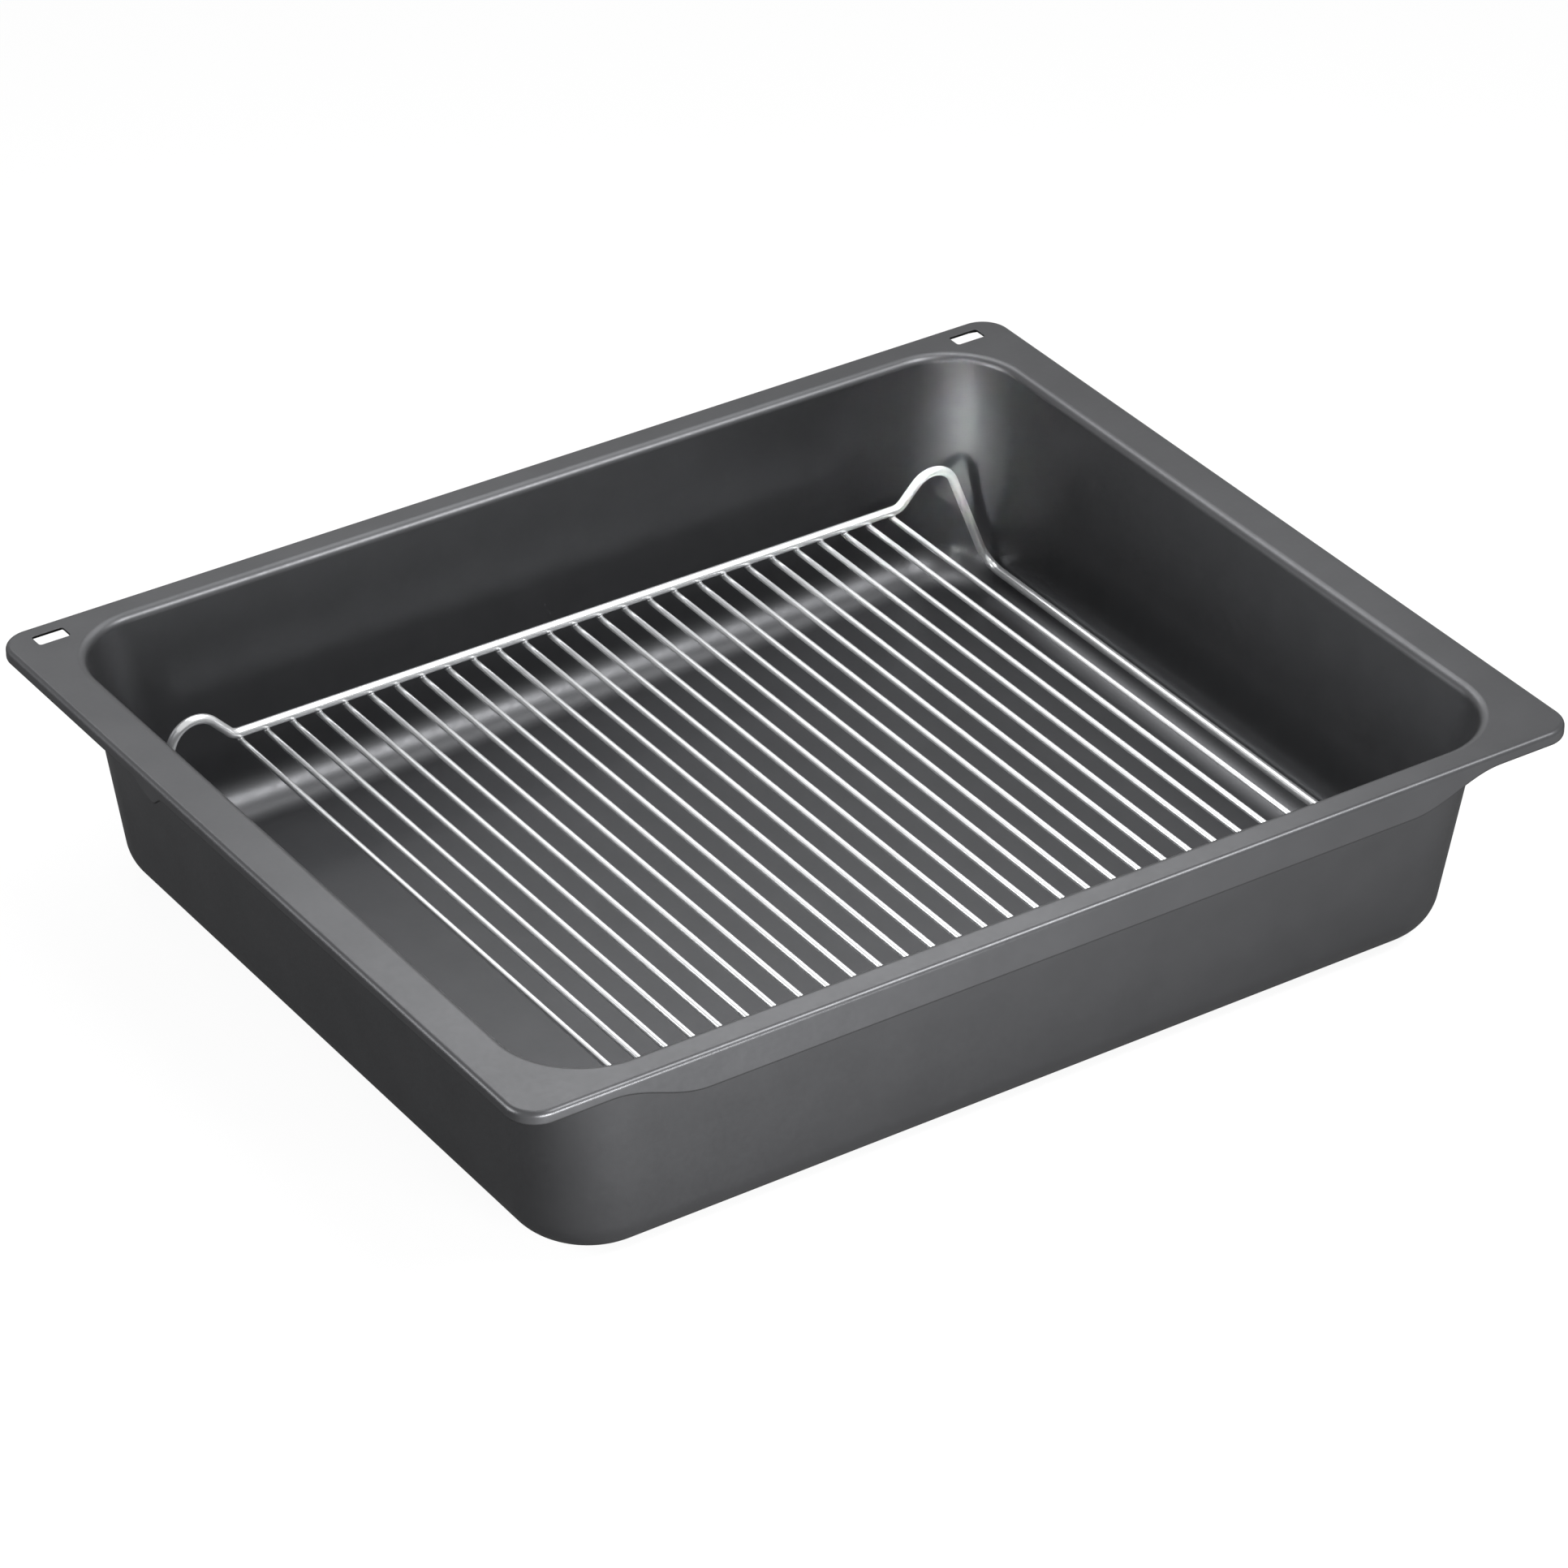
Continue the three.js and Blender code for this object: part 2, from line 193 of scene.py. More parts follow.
class PanSizes(bpy.types.PropertyGroup):
    """Sizes and finish of the enamelled pan"""

    width: length("Width", "Over the flange, left to right", pan_high.x - pan_low.x)
    depth: length("Depth", "Over the flange, front to rear", pan_high.y - pan_low.y)
    height: length("Height", "Underside of the floor to flange top", pan_high.z - pan_low.z)
    sheet: length("Sheet", "Steel sheet with its enamel", 0.001)
    side_flange: length("Side flange", "Outer edge to the rounding of the opening, left and right", 0.0156)
    end_flange: length("End flange", "Outer edge to the rounding of the opening, front and rear", 0.0094)
    side_draft: angle("Side draft", "Lean of the left and right walls", 5.9)
    end_draft: angle("End draft", "Lean of the front and rear walls", 7.1)
    floor_radius: length("Floor rounding", "Outer rounding between floor and walls", 0.0181)
    rim_radius: length("Rim rounding", "Top rounding from the flange down into the bowl", 0.004)
    wall_corner: length("Wall corner", "Plan radius of the bowl's outer corners", 0.0325)
    flange_corner: length("Flange corner", "Plan radius of the flange's outer corners", 0.012)
    edge_radius: length("Edge rounding", "Top rounding from the flange over into the lip", 0.002)
    lip_drop: length("Lip", "Flange top to the lower edge of the lip", 0.0053)
    hem_height: length("Hem", "Rounding along the lower edge of the lip", 0.0010)
    grip_drop: length("Grip lip", "Flange top to the lower edge of the lip along the front", 0.0152)
    sweep_inset: length("Sweep inset", "Side of the flange to the start of the deepening lip", 0.0355)
    sweep_length: length("Sweep length", "Run of the lip from shallow to deep", 0.040)
    stop_drop: length("Stop tooth", "Reach of the stop tooth below the side lip", 0.0041)
    stop_inset: length("Stop inset", "Rear edge of the flange to the tip of the stop tooth", 0.1195)
    stop_ramp: length("Stop ramp", "Slow rise behind the tip of the stop tooth", 0.017)
    stop_heel: length("Stop heel", "Quick return in front of the tip", 0.007)
    slot_length: length("Slot length", "Length of a slot in the rear corners", 0.013)
    slot_width: length("Slot width", "Width of a slot in the rear corners", 0.0066)
    slot_corner: length("Slot corner", "Corner radius of a slot", 0.001)
    slot_side_inset: length("Slot side inset", "Side of the flange to the slot's middle", 0.0187)
    slot_rear_inset: length("Slot rear inset", "Rear edge of the flange to the slot's middle", 0.0102)
    slot_roll: length("Slot rounding", "Enamel rounding along the edges of a slot", 0.00035)
    enamel: colour("Enamel", "Colour of the enamel", (0.079, 0.080, 0.084))
    sparkle: share("Enamel sparkle", "How far the fired-in flakes make the enamel shine like metal", 0.75)
    roughness: share("Enamel roughness", "Middle roughness of the enamel", 0.38)
    # Near-black painted shade for the lower edge of the lip and the cut faces of the slots
    painted_edge_shade: colour("Painted edge shade", "Colour of the shade painted on the lip's lower edge and the slot cuts", (0.010, 0.010, 0.010))


class RackSizes(bpy.types.PropertyGroup):
    """Sizes and finish of the wire rack"""

    wire_diameter: length("Frame wire", "Diameter of the bent frame wire", 0.004)
    wire_y: length("Wire place", "Middle of the rack to the front and back wires", -front_wire.y)
    grid_height: length("Grid height", "Underside of the pan to the front and back wires", front_wire.z)
    rail_x: length("Rail place", "Middle of the rack to a side rail", right_rail.x)
    rail_height: length("Rail height", "Underside of the pan to a side rail", right_rail.z)
    loop_offset: length("Loop offset", "End rod to the bend where a corner loop starts", 0.003)
    loop_reach: length("Loop reach", "That bend to the point of the loop before it is rounded", 0.020)
    loop_rise: length("Loop rise", "Front wire to the point of the loop before it is rounded", 0.0208)
    loop_radius: length("Loop rounding", "Bend over the top of a loop", 0.0109)
    foot_radius: length("Foot rounding", "Bend from the front or back wire into a loop", 0.0065)
    rail_bend: length("Rail rounding", "Bend from a side rail into a loop's outer leg", 0.0094)
    rod_count: IntProperty(name="Rods", description="Rods across the rack", default=len(rod_nodes), min=2)
    rod_diameter: length("Rod", "Diameter of a rod", 0.0025)
    rod_length: length("Rod length", "End to end", rod_high.y - rod_low.y)
    rod_height: length("Rod height", "Underside of the pan to the middle of the rods", last_rod.z)
    rod_span: length("End rod", "Middle of the rack to the last rod on either side", last_rod.x)
    rod_chamfer: length("Rod chamfer", "Rounding of the cut ends of a rod", 0.0003)
    bead_reach: length("Weld bead", "Squeezed-out metal beyond a rod at its weld", 0.0003)
    chrome: colour("Chrome", "Colour of the plating", (0.90, 0.91, 0.92))
    shine: share("Chrome shine", "How far the plating shines like bare metal", 0.66)
    roughness: share("Chrome roughness", "Middle roughness of the plating", 0.20)


class StageSettings(bpy.types.PropertyGroup):
    """Floor, lamps and camera"""

    view_target: FloatVectorProperty(
        name="View target",
        description="Point that the camera looks at",
        default=(-0.00964, -0.01826, 0.06131),
        size=3,
        precision=5,
        subtype="XYZ",
        unit="LENGTH",
    )
    view_distance: length("View distance", "Camera to the point that it looks at", 2.59253)
    view_azimuth: angle("View azimuth", "Turn of the camera round the pan", -33.64)
    view_elevation: angle("View elevation", "Camera above the horizon", 32.518)
    view_lens: FloatProperty(
        name="Lens", description="Focal length on a 36 mm sensor, in millimetres", default=160.79, min=1.0
    )
    floor_size: length("Floor size", "Edge of the square floor", 14.0)
    floor_gap: length("Floor gap", "Underside of the pan to the floor", 0.0003)
    floor_colour: colour("Floor", "Colour of the floor under its white glow", (0.150, 0.150, 0.150))
    floor_glow: share("Floor glow", "White that the floor adds where it is seen", 0.90)
    mirrored_rear: share("Mirrored at the rear", "Share of that white that the pan mirrors round it", 0.03)
    mirrored_front: share("Mirrored at the front", "Share of that white that it mirrors in front of it", 1.0)
    mirrored_from: length("Mirrored from", "Middle of the pan to where the mirrored white grows", 0.155)
    mirrored_to: length("Mirrored to", "Middle of the pan to where it is whitest", 0.260)
    backdrop: share("Backdrop", "White of the room where it is seen or mirrored", 0.75)
    daylight: share("Daylight", "Even light from all round", 0.10)
    lamp_level: FloatProperty(name="Lamp level", description="Strength of all lamps", default=1.0, min=0.0)


# Mesh helpers


def turns(start, end, steps):
    """Evenly spaced angles from start to end, both included."""
    return [start + (end - start) * i / steps for i in range(steps + 1)]


def ease(part):
    """Smooth step from 0 to 1."""
    return (1 - math.cos(math.pi * min(max(part, 0.0), 1.0))) / 2


def linked_object(name, mesh):
    """A new object in the scene."""
    piece = bpy.data.objects.new(name, mesh)
    bpy.context.scene.collection.objects.link(piece)
    return piece


def skin(rings, edge_shade=()):
    """A closed mesh through rings of equal length, with a flat face over the first and the last ring. The
    painted edge shade, a value for each ring, is kept as an attribute of its points."""
    shell = bmesh.new()
    layer = shell.verts.layers.float.new(EDGE_SHADE_MARK)
    loops = [[shell.verts.new(point) for point in ring] for ring in rings]
    for loop, value in zip(loops, edge_shade):
        for vert in loop:
            vert[layer] = value
    count = len(rings[0])
    for low, high in zip(loops, loops[1:]):
        for j in range(count):
            k = (j + 1) % count
            shell.faces.new((low[j], low[k], high[k], high[j]))
    shell.faces.new(loops[0][::-1])
    shell.faces.new(loops[-1])
    bmesh.ops.recalc_face_normals(shell, faces=shell.faces)
    for face in shell.faces:
        face.smooth = True
    if not all(edge.is_manifold for edge in shell.edges):
        raise RuntimeError("the skin has open edges")
    return shell


def mesh_from(shell, name):
    """A mesh of what was built so far."""
    mesh = bpy.data.meshes.new(name)
    shell.to_mesh(mesh)
    shell.free()
    return mesh


def finished(source, name):
    """A plain piece with everything that the source's modifiers make. The source is removed."""
    graph = bpy.context.evaluated_depsgraph_get()
    mesh = bpy.data.meshes.new_from_object(source.evaluated_get(graph), depsgraph=graph)
    mesh.name = name
    bpy.data.objects.remove(source)
    if not mesh.polygons:
        raise RuntimeError(f"{name} came out empty")
    return linked_object(name, mesh)


def ring_round(axis, along, radius, sides):
    """A ring about a Y or Z axis, at a place along it."""
    points = []
    for turn in turns(0, 2 * math.pi, sides)[:-1]:
        u, v = radius * math.cos(turn), radius * math.sin(turn)
        points.append(Vector((u, along, v)) if axis == "Y" else Vector((u, v, along)))
    return points


# Pan pressing


def flat_floor_half(size, half, flange, draft):
    """Half of the flat floor, found down from the flange."""
    rise = size.height - size.rim_radius - size.floor_radius
    roundings = size.rim_radius - size.sheet + size.floor_radius
    return half - flange - (rise * math.sin(draft) + roundings) / math.cos(draft)


def sheet_profile(size, half, flange, draft, inset):
    """One face of the sheet from the floor to the lip: distance out, height and plan radius of the corner."""
    floor_half = flat_floor_half(size, half, flange, draft)
    floor_radius = size.floor_radius - inset
    rim_radius = size.rim_radius - size.sheet + inset
    edge_radius = size.edge_radius - size.sheet + inset
    wall_corner = size.wall_corner - inset
    opening = half - flange
    wall_foot = floor_half + floor_radius * math.cos(draft)
    wall_top = opening - rim_radius * math.cos(draft)
    profile = []
    for turn in turns(0, math.pi / 2 - draft, FLOOR_STEPS):
        out = floor_half + floor_radius * math.sin(turn)
        height = size.floor_radius - floor_radius * math.cos(turn)
        profile.append((out, height, wall_corner + out - wall_foot))
    foot = profile[-1]
    top = (wall_top, size.height - size.rim_radius + rim_radius * math.sin(draft), wall_corner)
    for i in range(1, WALL_STEPS):
        profile.append(tuple(a + (b - a) * i / WALL_STEPS for a, b in zip(foot, top)))
    for turn in turns(draft, math.pi / 2, RIM_STEPS):
        out = opening - rim_radius * math.cos(turn)
        height = size.height - size.rim_radius + rim_radius * math.sin(turn)
        profile.append((out, height, wall_corner + out - wall_top))
    for turn in turns(0, math.pi / 2, EDGE_STEPS):
        out = half - size.edge_radius + edge_radius * math.sin(turn)
        height = size.height - size.edge_radius + edge_radius * math.cos(turn)
        profile.append((out, height, size.flange_corner + out - half))
    return profile


def places_around(size):
    """Places round the pan, counter-clockwise from the front: shares of the straight edges, the direction
    of the corner radius and the drop of the lip."""
    straight_x = size.width / 2 - size.flange_corner
    straight_y = size.depth / 2 - size.flange_corner
    sweep_start = size.width / 2 - size.sweep_inset
    stop_tip = size.depth / 2 - size.stop_inset
    places = []

    def add_corner(fx, fy, start):
        for turn in turns(start, start + math.pi / 2, CORNER_STEPS):
            places.append((fx, fy, math.cos(turn), math.sin(turn), size.lip_drop))

    def add_front(x):
        part = (sweep_start - abs(x)) / size.sweep_length
        drop = size.lip_drop + (size.grip_drop - size.lip_drop) * ease(part)
        places.append((x / straight_x, -1, 0, -1, drop))

    def add_rear(x):
        places.append((x / straight_x, 1, 0, 1, size.lip_drop))

    def add_side(side, y):
        run = size.stop_ramp if y > stop_tip else size.stop_heel
        drop = size.lip_drop + size.stop_drop * ease(1 - abs(y - stop_tip) / run)
        places.append((side, y / straight_y, side, 0, drop))

    sweep = turns(sweep_start, sweep_start - size.sweep_length, SWEEP_STEPS)
    grip = turns(-sweep[-1], sweep[-1], STRAIGHT_STEPS)[1:-1]
    tooth = turns(stop_tip - size.stop_heel, stop_tip, HEEL_STEPS)[:-1]
    tooth += turns(stop_tip, stop_tip + size.stop_ramp, RAMP_STEPS)
    side_front = turns(-straight_y, tooth[0], STRAIGHT_STEPS)[1:-1]
    side_rear = turns(tooth[-1], straight_y, STRAIGHT_STEPS // 2)[1:-1]
    side_run = side_front + tooth + side_rear
    for x in [-x for x in sweep] + grip + sweep[::-1]:
        add_front(x)
    add_corner(1, -1, -math.pi / 2)
    for y in side_run:
        add_side(1, y)
    add_corner(1, 1, 0)
    for x in turns(straight_x, -straight_x, STRAIGHT_STEPS)[1:-1]:
        add_rear(x)
    add_corner(-1, 1, math.pi / 2)
    for y in side_run[::-1]:
        add_side(-1, y)
    add_corner(-1, -1, math.pi)
    return places


def sheet_rings(size, places, inset):
    """One face of the sheet as rings from the floor out to the top of the lip."""
    sides = sheet_profile(size, size.width / 2, size.side_flange, size.side_draft, inset)
    ends = sheet_profile(size, size.depth / 2, size.end_flange, size.end_draft, inset)
    rings = []
    for (side_out, side_z, side_corner), (end_out, end_z, end_corner) in zip(sides, ends):
        ring = []
        for fx, fy, ux, uy, _drop in places:
            x = fx * (side_out - side_corner) + ux * side_corner
            y = fy * (end_out - end_corner) + uy * end_corner
            ring.append(Vector((x, y, side_z * ux * ux + end_z * uy * uy)))
        rings.append(ring)
    return rings


def hem_rings(size, places):
    """The lower edge of the lip, rounded from its inner face to its outer face."""
    straight_x = size.width / 2 - size.flange_corner
    straight_y = size.depth / 2 - size.flange_corner
    radius = size.sheet / 2
    rings = []
    for turn in turns(math.pi, 2 * math.pi, HEM_STEPS):
        corner = size.flange_corner - radius + radius * math.cos(turn)
        lift = size.height + size.hem_height + size.hem_height * math.sin(turn)
        rings.append(
            [
                Vector((fx * straight_x + ux * corner, fy * straight_y + uy * corner, lift - drop))
                for fx, fy, ux, uy, drop in places
            ]
        )
    return rings


def slot_ring(size, middle_x, middle_y, spread, height):
    """Outline of a slot, spread by the rounding of its edge."""
    reach_x = size.slot_length / 2 - size.slot_corner
    reach_y = size.slot_width / 2 - size.slot_corner
    radius = size.slot_corner + spread
    ring = []
    for quarter, (sx, sy) in enumerate([(1, 1), (-1, 1), (-1, -1), (1, -1)]):
        start = quarter * math.pi / 2
        for turn in turns(start, start + math.pi / 2, SLOT_CORNER_STEPS):
            x = middle_x + sx * reach_x + radius * math.cos(turn)
            y = middle_y + sy * reach_y + radius * math.sin(turn)
            ring.append(Vector((x, y, height)))
    return ring


def slot_punch(size, side):
    """Punch for one slot, flared where it leaves the sheet so that the slot's edges come out rounded."""
    x = side * (size.width / 2 - size.slot_side_inset)
    y = size.depth / 2 - size.slot_rear_inset
    roll = size.slot_roll
    bottom = size.height - size.sheet
    levels = [(roll, bottom - size.sheet)]
    for turn in turns(0, math.pi / 2, SLOT_ROLL_STEPS):
        levels.append((roll - roll * math.sin(turn), bottom + roll - roll * math.cos(turn)))
    for turn in turns(math.pi / 2, 0, SLOT_ROLL_STEPS):
        levels.append((roll - roll * math.sin(turn), size.height - roll + roll * math.cos(turn)))
    levels.append((roll, size.height + size.sheet))
    return skin([slot_ring(size, x, y, spread, height) for spread, height in levels])


def shade_slot_cuts(pan, size):
    """Marks the cut faces of the slots for painted shade."""
    edge_shade = pan.data.attributes[EDGE_SHADE_MARK]
    reach = size.slot_width / 2 + size.slot_roll
    along = size.slot_length / 2 + size.slot_roll
    for vert in pan.data.vertices:
        x = abs(abs(vert.co.x) - size.width / 2 + size.slot_side_inset)
        y = abs(vert.co.y - size.depth / 2 + size.slot_rear_inset)
        depth = size.height - vert.co.z
        if x < along and y < reach and CUT_TOP * size.sheet < depth < CUT_BOTTOM * size.sheet:
            edge_shade.data[vert.index].value = 1.0


def press_pan(size):
    """The pan: a closed skin round the sheet, with the slots punched through."""
    places = places_around(size)
    outside = sheet_rings(size, places, 0)
    inside = sheet_rings(size, places, size.sheet)
    hem = hem_rings(size, places)
    # Painted shade, darkest at the bottom of the lip's lower edge
    hem_shade = [math.sin(turn) for turn in turns(0, math.pi, HEM_STEPS)]
    shell = skin(outside + hem + inside[::-1], [0.0] * len(outside) + hem_shade + [0.0] * len(inside))
    pressed = linked_object("pressed_sheet", mesh_from(shell, "pressed_sheet"))
    punches = []
    for side in (-1, 1):
        punch = linked_object("slot_punch", mesh_from(slot_punch(size, side), "slot_punch"))
        cut = pressed.modifiers.new("Slot", "BOOLEAN")
        cut.operation = "DIFFERENCE"
        cut.solver = "EXACT"
        cut.object = punch
        punches.append(punch)
    flats = pressed.modifiers.new("Flat faces first", "WEIGHTED_NORMAL")
    flats.mode = "FACE_AREA"
    pan = finished(pressed, "enamel_pan")
    for punch in punches:
        bpy.data.objects.remove(punch)
    # Painted shade on the cut faces of the slots
    shade_slot_cuts(pan, size)
    return pan


# Geometry node trees


def new_tree(name, made, wanted):
    """An empty tree with named inputs and one geometry output."""
    tree = bpy.data.node_groups.new(name, "GeometryNodeTree")
    for label, kind in wanted:
        tree.interface.new_socket(name=label, in_out="INPUT", socket_type=kind)
    tree.interface.new_socket(name=made, in_out="OUTPUT", socket_type="NodeSocketGeometry")
    return tree


def end_tree(tree, given, made):
    """Ends a tree in Realize Instances and Set Material."""
    real = tree.nodes.new("GeometryNodeRealizeInstances")
    paint = tree.nodes.new("GeometryNodeSetMaterial")
    result = tree.nodes.new("NodeGroupOutput")
    tree.links.new(made, real.inputs["Geometry"])
    tree.links.new(real.outputs["Geometry"], paint.inputs["Geometry"])
    tree.links.new(given.outputs["Finish"], paint.inputs["Material"])
    tree.links.new(paint.outputs["Geometry"], result.inputs[0])


def bent_wire_tree():
    """A round wire along a path whose points carry their bend radius."""
    tree = new_tree(
        "Bent wire",
        "Wire",
        [
            ("Path", "NodeSocketGeometry"),
            ("Diameter", "NodeSocketFloat"),
            ("Sides", "NodeSocketInt"),
            ("Bend steps", "NodeSocketInt"),
            ("Finish", "NodeSocketMaterial"),
        ],
    )
    new, link = tree.nodes.new, tree.links.new
    given = new("NodeGroupInput")
    path = new("GeometryNodeMeshToCurve")
    bend = new("GeometryNodeInputNamedAttribute")
    bend.data_type = "FLOAT"
    bend.inputs["Name"].default_value = BEND_RADIUS
    rounded = new("GeometryNodeFilletCurve")
    rounded.mode = "POLY"
    halved = new("ShaderNodeMath")
    halved.operation = "MULTIPLY"
    halved.inputs[1].default_value = 0.5
    section = new("GeometryNodeCurvePrimitiveCircle")
    wire = new("GeometryNodeCurveToMesh")
    smooth = new("GeometryNodeSetShadeSmooth")
    link(given.outputs["Path"], path.inputs["Mesh"])
    link(path.outputs["Curve"], rounded.inputs["Curve"])
    link(given.outputs["Bend steps"], rounded.inputs["Count"])
    link(bend.outputs["Attribute"], rounded.inputs["Radius"])
    link(given.outputs["Diameter"], halved.inputs[0])
    link(given.outputs["Sides"], section.inputs["Resolution"])
    link(halved.outputs["Value"], section.inputs["Radius"])
    link(rounded.outputs["Curve"], wire.inputs["Curve"])
    link(section.outputs["Curve"], wire.inputs["Profile Curve"])
    link(wire.outputs["Mesh"], smooth.inputs["Geometry"])
    end_tree(tree, given, smooth.outputs["Geometry"])
    return tree


def even_row_tree():
    """Copies of one shape along a straight row."""
    tree = new_tree(
        ROW_TREE,
        "Row",
        [
            ("Shape", "NodeSocketGeometry"),
            ("Copies", "NodeSocketInt"),
            ("First place", "NodeSocketVector"),
            ("Step", "NodeSocketVector"),
            ("Finish", "NodeSocketMaterial"),
        ],
    )
    new, link = tree.nodes.new, tree.links.new
    given = new("NodeGroupInput")
    row = new("GeometryNodeMeshLine")
    copies = new("GeometryNodeInstanceOnPoints")
    link(given.outputs["Copies"], row.inputs["Count"])
    link(given.outputs["First place"], row.inputs["Start Location"])
    link(given.outputs["Step"], row.inputs["Offset"])
    link(row.outputs["Mesh"], copies.inputs["Points"])
    link(given.outputs["Shape"], copies.inputs["Instance"])
    end_tree(tree, given, copies.outputs["Instances"])
    return tree


def grown(mesh, name, tree, values):
    """The plain piece that a tree makes of a mesh."""
    source = linked_object(name + "_source", mesh)
    modifier = source.modifiers.new(tree.name, "NODES")
    modifier.node_group = tree
    for item in tree.interface.items_tree:
        if item.name in values:
            modifier[item.identifier] = values[item.name]
    return finished(source, name)


# Wire rack


def frame_path(size):
    """The corners of the frame wire as one closed line, each with its bend radius."""
    foot_x = size.rod_span + size.loop_offset
    tip_x = foot_x + size.loop_reach
    tip_z = size.grid_height + size.loop_rise
    points = []
    radii = []
    for side, end in ((1, -1), (1, 1), (-1, 1), (-1, -1)):
        corner = [
            (Vector((side * foot_x, end * size.wire_y, size.grid_height)), size.foot_radius),
            (Vector((side * tip_x, end * size.wire_y, tip_z)), size.loop_radius),
            (Vector((side * size.rail_x, end * size.wire_y, size.rail_height)), size.rail_bend),
        ]
        if side * end > 0:
            corner.reverse()
        points += [point for point, _radius in corner]
        radii += [radius for _point, radius in corner]
    edges = [(i, (i + 1) % len(points)) for i in range(len(points))]
    mesh = bpy.data.meshes.new("frame_path")
    mesh.from_pydata(points, edges, [])
    bends = mesh.attributes.new(BEND_RADIUS, "FLOAT", "POINT")
    bends.data.foreach_set("value", radii)
    return mesh


def bend_frame(size, finish):
    """The frame of the rack as one bent wire."""
    values = {
        "Diameter": size.wire_diameter,
        "Sides": WIRE_SIDES,
        "Bend steps": BEND_STEPS,
        "Finish": finish,
    }
    return grown(frame_path(size), "frame_wire", bent_wire_tree(), values)


def row_at_rods(size, mesh, name, finish):
    """One copy of a shape at each rod."""
    step = 2 * size.rod_span / (size.rod_count - 1)
    values = {
        "Copies": size.rod_count,
        "First place": (-size.rod_span, 0.0, 0.0),
        "Step": (step, 0.0, 0.0),
        "Finish": finish,
    }
    tree = bpy.data.node_groups.get(ROW_TREE) or even_row_tree()
    return grown(mesh, name, tree, values)


def one_rod(size):
    """One rod in the middle of the rack, with its cut ends rounded off."""
    radius = size.rod_diameter / 2
    half = size.rod_length / 2
    cut = size.rod_chamfer
    stations = [(-half, radius - cut)]
    for turn in turns(*ROD_END_TURN, ROD_END_STEPS):
        stations.append((-half + cut - cut * math.cos(turn), radius - cut + cut * math.sin(turn)))
    stations += [(-along, reach) for along, reach in stations[::-1]]
    shell = skin([ring_round("Y", along, reach, ROD_SIDES) for along, reach in stations])
    bmesh.ops.translate(shell, verts=shell.verts, vec=(0, 0, size.rod_height))
    return mesh_from(shell, "one_rod")


def weld_beads(size):
    """The collars of squeezed-out metal between one rod and the front and back wires."""
    rod_radius = size.rod_diameter / 2
    wire_radius = size.wire_diameter / 2
    low = size.rod_height + BEAD_IN_ROD * rod_radius
    high = size.grid_height - BEAD_IN_WIRE * wire_radius
    wide = rod_radius + size.bead_reach
    beads = bmesh.new()
    for end in (-1, 1):
        stations = []
        for i in range(BEAD_STEPS + 1):
            part = i / BEAD_STEPS
            waist = BEAD_WAIST * size.bead_reach * math.sin(math.pi * part)
            stations.append((low + (high - low) * part, wide - waist))
        collar = skin([ring_round("Z", along, reach, BEAD_SIDES) for along, reach in stations])
        bmesh.ops.translate(collar, verts=collar.verts, vec=(0, end * size.wire_y, 0))
        piece = mesh_from(collar, "one_bead")
        beads.from_mesh(piece)
        bpy.data.meshes.remove(piece)
    return mesh_from(beads, "weld_beads")


# Finishes


def new_material(name):
    """A material with its shader and the node that gives the piece's coordinates."""
    material = bpy.data.materials.new(name)
    material.use_nodes = True
    shader = material.node_tree.nodes["Principled BSDF"]
    place = material.node_tree.nodes.new("ShaderNodeTexCoord")
    return material, shader, place


def noise(material, place, scale, detail=BUMP_DETAIL):
    """Noise in the piece's own coordinates. The scale is in features per metre."""
    node = material.node_tree.nodes.new("ShaderNodeTexNoise")
    node.inputs["Scale"].default_value = scale
    node.inputs["Detail"].default_value = detail
    material.node_tree.links.new(place.outputs["Object"], node.inputs["Vector"])
    return node.outputs["Fac"]


def strayed(material, value, centre, stray):
    """A noise value as a roughness near its middle."""
    node = material.node_tree.nodes.new("ShaderNodeMapRange")
    node.inputs["From Min"].default_value = ROUGHNESS_ENDS[0]
    node.inputs["From Max"].default_value = ROUGHNESS_ENDS[1]
    node.inputs["To Min"].default_value = centre - stray
    node.inputs["To Max"].default_value = centre + stray
    material.node_tree.links.new(value, node.inputs["Value"])
    return node.outputs["Result"]


def tinted(material, value, base, tones):
    """A noise value as a colour between two tones of a base colour."""
    ramp = material.node_tree.nodes.new("ShaderNodeValToRGB")
    for stop, position, tone in zip(ramp.color_ramp.elements, TONE_ENDS, tones):
        stop.position = position
        stop.color = (*(Vector(base) * tone), 1)
    material.node_tree.links.new(value, ramp.inputs["Fac"])
    return ramp.outputs["Color"]


def bumped(material, heights):
    """Bumps in a row, each a height and its depth in metres."""
    normal = None
    for height, depth in heights:
        node = material.node_tree.nodes.new("ShaderNodeBump")
        node.inputs["Distance"].default_value = depth
        material.node_tree.links.new(height, node.inputs["Height"])
        if normal is not None:
            material.node_tree.links.new(normal, node.inputs["Normal"])
        normal = node.outputs["Normal"]
    return normal


